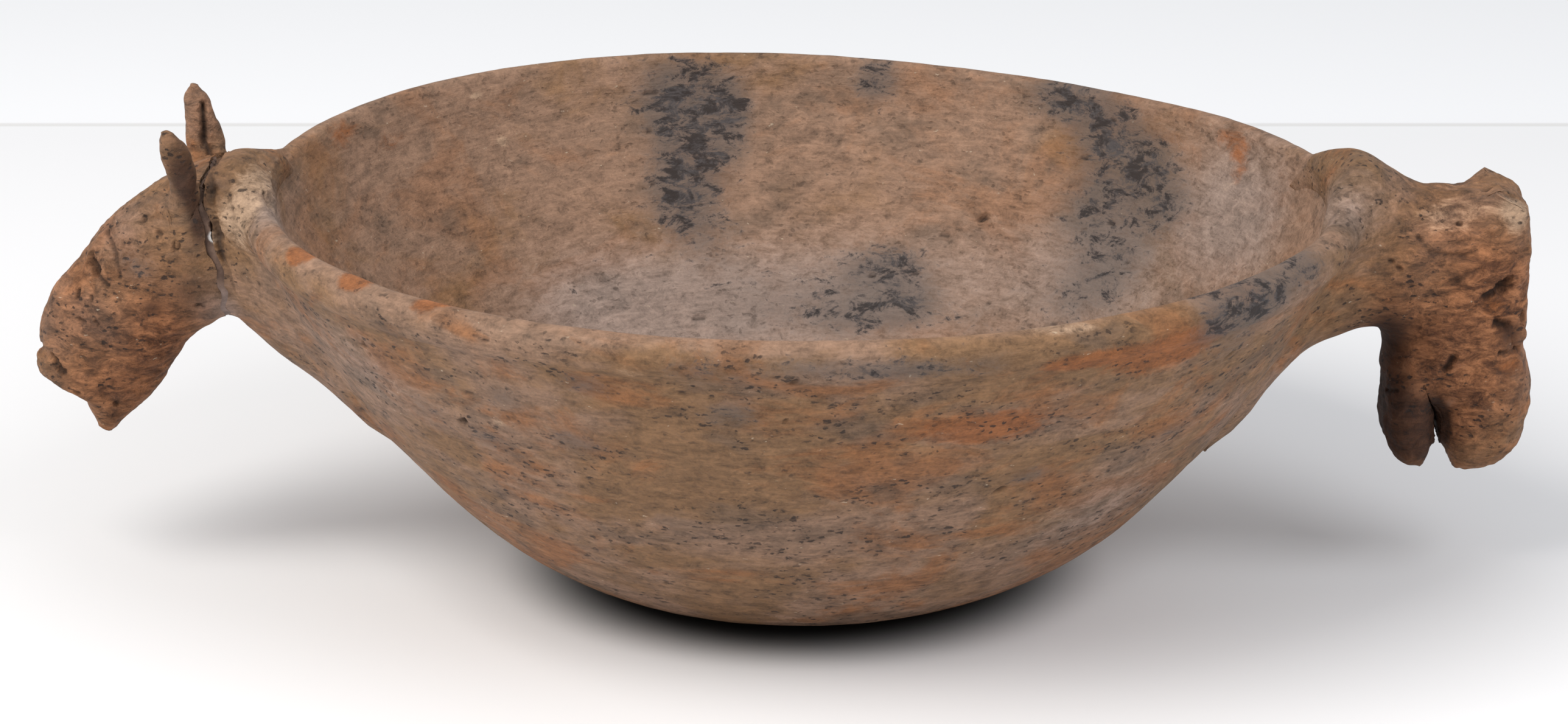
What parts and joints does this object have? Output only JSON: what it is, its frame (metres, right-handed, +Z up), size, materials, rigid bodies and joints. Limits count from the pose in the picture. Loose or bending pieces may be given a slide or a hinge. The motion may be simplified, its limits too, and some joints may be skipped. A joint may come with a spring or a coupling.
{
  "type": "animal effigy bowl",
  "caption": "Coil-built earthenware bowl with a flat foot, a rounded lip and a modelled animal head luted to each end, one looking outwards and one hanging straight down.",
  "frame": {"origin": "centre of the flat face that the bowl rests on", "axes": "+Z up out of the bowl's mouth, +X from the bowl's middle towards the head that hangs straight down, -X towards the head with whole ears, -Y towards the viewer of the picture"},
  "size_m": [0.4292, 0.3166, 0.1381],
  "materials": {
    "body_clay": "matt burnished earthenware with fire clouds",
    "head_clay": "matt rough earthenware with pits",
    "mend_filler": "matt restorer's filler"
  },
  "bodies": {
    "root": {"base": "body_clay", "wall_coil_1": "body_clay", "wall_coil_2": "body_clay", "wall_coil_3": "body_clay", "rim_coil": "body_clay", "left_neck": "body_clay", "left_mend": "mend_filler", "left_head": "head_clay", "left_jaw": "head_clay", "left_near_ear": "head_clay", "left_far_ear": "head_clay", "right_neck": "body_clay", "right_head": "head_clay", "right_jaw": "head_clay", "right_near_ear_stump": "head_clay", "right_far_ear_stump": "head_clay", "right_near_pellet": "head_clay", "right_far_pellet": "head_clay"}
  },
  "joints": []
}
